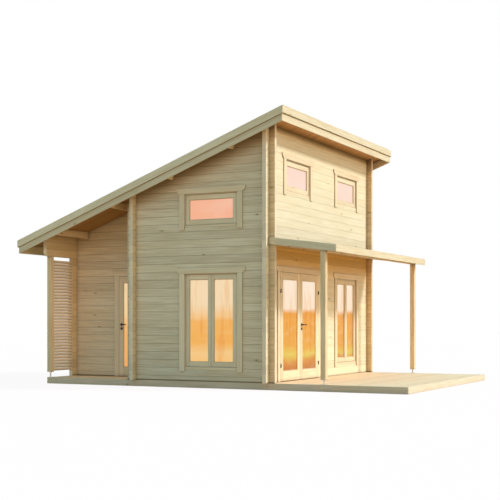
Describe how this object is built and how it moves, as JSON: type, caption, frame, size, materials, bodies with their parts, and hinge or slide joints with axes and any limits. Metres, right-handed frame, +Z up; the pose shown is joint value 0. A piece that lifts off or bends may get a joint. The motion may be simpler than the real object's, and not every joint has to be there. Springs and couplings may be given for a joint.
{
  "type": "sauna cabin",
  "caption": "Log sauna cabin with a mono-pitch roof, a canopy on posts over the front terrace, a recessed rear porch with a slatted screen, glazed hinged doors and framed windows.",
  "frame": {"origin": "middle of the whole footprint, on the ground", "axes": "+Z up; the front wall with the double door faces -Y; the porch is at the rear on the -X side"},
  "size_m": [5.334, 7.512, 4.7159],
  "materials": {
    "spruce_logs": "planed, untreated",
    "planed_boards": "planed, untreated",
    "planed_timbers": "planed, untreated",
    "deck_boards": "planed, untreated",
    "joinery": "smooth, untreated",
    "roof_felt": "matt mineral felt",
    "glass": "clear",
    "dark_metal": "satin",
    "zinc_steel": "zinc plated"
  },
  "bodies": {
    "cabin": {"base_bearers": "deck_boards", "side_skirts": "planed_boards", "end_skirts": "planed_boards", "outdoor_decks": "deck_boards", "room_floor": "deck_boards", "left_gable_wall": "spruce_logs", "right_gable_wall": "spruce_logs", "front_wall_left": "spruce_logs", "front_wall_right": "spruce_logs", "front_wall_upper": "spruce_logs", "porch_cross_wall": "spruce_logs", "porch_wall_front": "spruce_logs", "porch_wall_rear": "spruce_logs", "porch_wall_upper": "spruce_logs", "rear_wall_lower": "spruce_logs", "rear_wall_upper": "spruce_logs", "roof_purlins": "planed_timbers", "roof_boards": "planed_boards", "roof_covering": "roof_felt", "lower_barge_boards": "planed_boards", "upper_barge_boards": "planed_boards", "lower_eaves_boards": "planed_boards", "upper_eaves_boards": "planed_boards", "posts": "planed_timbers", "post_feet": "zinc_steel", "canopy_beams": "planed_timbers", "canopy_rafters": "planed_timbers", "canopy_boards": "planed_boards", "canopy_covering": "roof_felt", "canopy_side_fascias": "planed_boards", "canopy_front_fascia": "planed_boards", "slat_screen": "planed_boards", "left_gable_windows": "joinery", "right_gable_windows": "joinery", "front_windows": "joinery", "left_gable_panes": "glass", "right_gable_panes": "glass", "front_panes": "glass", "front_door_frame": "joinery", "porch_door_frame": "joinery", "frame_hinges": "dark_metal"},
    "left_door": {"left_door_leaf": "joinery", "left_door_pane": "glass", "left_door_hinges": "dark_metal"},
    "right_door": {"right_door_leaf": "joinery", "right_door_pane": "glass", "right_door_hardware": "dark_metal"},
    "porch_door": {"porch_door_leaf": "joinery", "porch_door_pane": "glass", "porch_door_hardware": "dark_metal"}
  },
  "joints": [
    {"name": "left_door_hinge", "type": "hinge", "parent": "cabin", "child": "left_door", "pos_m": [-1.9275, -1.3355, 1.05], "axis": [0, 0, -1], "range_deg": [0, 110]},
    {"name": "right_door_hinge", "type": "hinge", "parent": "cabin", "child": "right_door", "pos_m": [-0.2975, -1.3355, 1.05], "axis": [0, 0, 1], "range_deg": [0, 110]},
    {"name": "porch_door_hinge", "type": "hinge", "parent": "cabin", "child": "porch_door", "pos_m": [-1.5345, 1.5665, 1.05], "axis": [0, 0, 1], "range_deg": [0, 95]}
  ]
}
